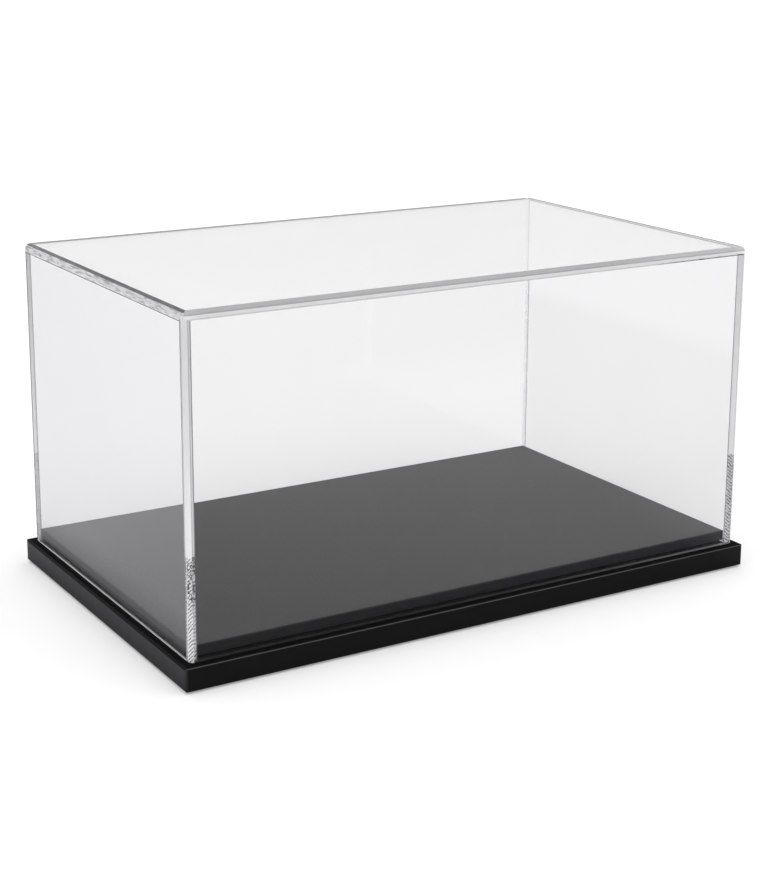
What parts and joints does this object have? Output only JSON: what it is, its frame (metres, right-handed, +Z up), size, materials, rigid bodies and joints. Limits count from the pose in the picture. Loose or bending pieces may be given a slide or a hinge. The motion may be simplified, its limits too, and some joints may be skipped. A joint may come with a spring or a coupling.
{
  "type": "display case",
  "caption": "Box-shaped clear display cover, open below, that lifts off a flat black base with a narrow ledge and a raised leathercloth-covered deck",
  "frame": {"origin": "On the standing surface, under the middle of the base", "axes": "+X along the length, +Y towards the back, +Z up"},
  "size_m": [0.41, 0.252, 0.218],
  "materials": {
    "clear_acrylic": "clear acrylic sheet, polished faces, fine slanting saw marks on the cut edges",
    "black_lacquer": "satin black lacquer on fibreboard",
    "black_stained_board": "matt black fibreboard",
    "leathercloth": "dark grey leathercloth with a fine grain",
    "zinc_steel": "zinc-plated steel",
    "foot_rubber": "matt black rubber"
  },
  "bodies": {
    "base": {"base_board": "black_lacquer", "deck_riser": "black_stained_board", "deck_board": "black_stained_board", "deck_covering": "leathercloth", "deck_screws": "zinc_steel", "foot_front_left": "foot_rubber", "foot_front_right": "foot_rubber", "foot_back_left": "foot_rubber", "foot_back_right": "foot_rubber"},
    "cover": {"top_panel": "clear_acrylic", "front_panel": "clear_acrylic", "back_panel": "clear_acrylic", "left_panel": "clear_acrylic", "right_panel": "clear_acrylic"}
  },
  "joints": [
    {"name": "cover_lift", "type": "slide", "parent": "base", "child": "cover", "axis": [0, 0, 1], "range_m": [0, 0.2]}
  ]
}
